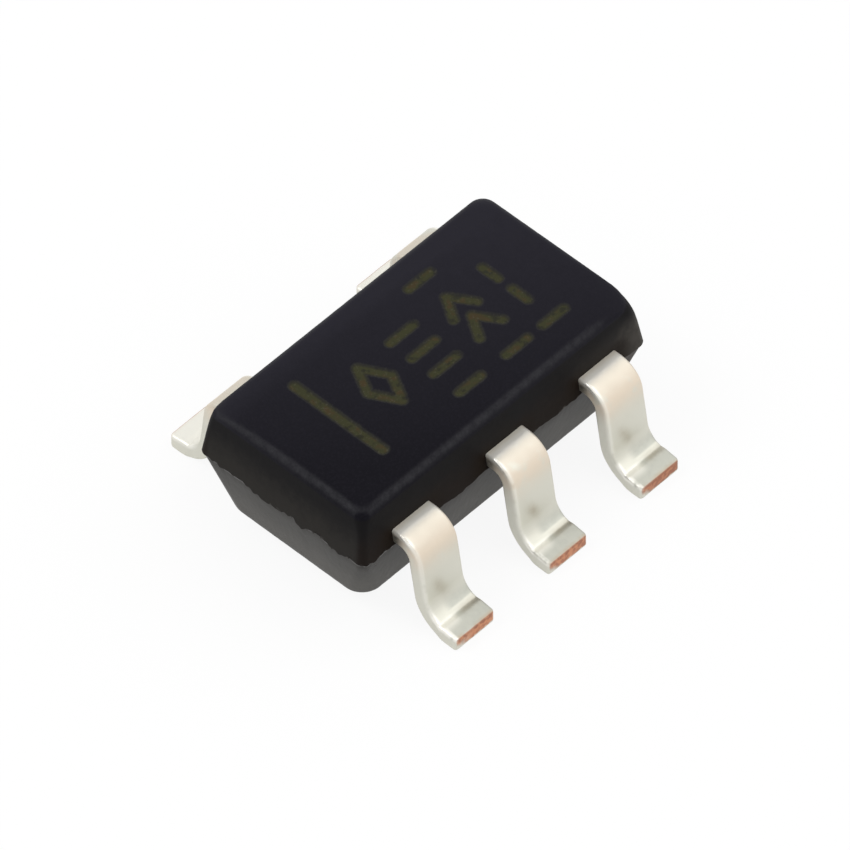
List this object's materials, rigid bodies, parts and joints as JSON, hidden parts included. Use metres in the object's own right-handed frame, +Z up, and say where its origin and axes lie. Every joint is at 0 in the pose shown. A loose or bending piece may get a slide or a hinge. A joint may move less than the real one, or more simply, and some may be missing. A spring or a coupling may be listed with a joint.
{
  "type": "dc-dc converter ic",
  "caption": "Surface-mount dc-dc converter chip: black moulded body with a row of three gull-wing leads on one long side and two on the other.",
  "frame": {"origin": "on the board plane, under the middle of the moulded body", "axes": "+X along the row of three leads, +Y from the row of three leads towards the row of two, +Z up from the board"},
  "size_m": [0.0028, 0.0028, 0.0012],
  "materials": {
    "mould_compound": "matte black epoxy with a fine grain",
    "tinned_lead": "satin tin plate, bare copper at the cut tips",
    "die_adhesive": "silver-filled adhesive",
    "silicon": "polished silicon with metal pads",
    "wire_metal": "bright drawn wire"
  },
  "bodies": {
    "root": {"moulded_case": "mould_compound", "lead_1": "tinned_lead", "lead_2_with_paddle": "tinned_lead", "lead_3": "tinned_lead", "lead_4": "tinned_lead", "lead_5": "tinned_lead", "die_attach": "die_adhesive", "die": "silicon", "bond_wire_1a": "wire_metal", "bond_wire_1b": "wire_metal", "bond_wire_2a": "wire_metal", "bond_wire_2b": "wire_metal", "bond_wire_3": "wire_metal", "bond_wire_4": "wire_metal", "bond_wire_5a": "wire_metal", "bond_wire_5b": "wire_metal"}
  },
  "joints": []
}
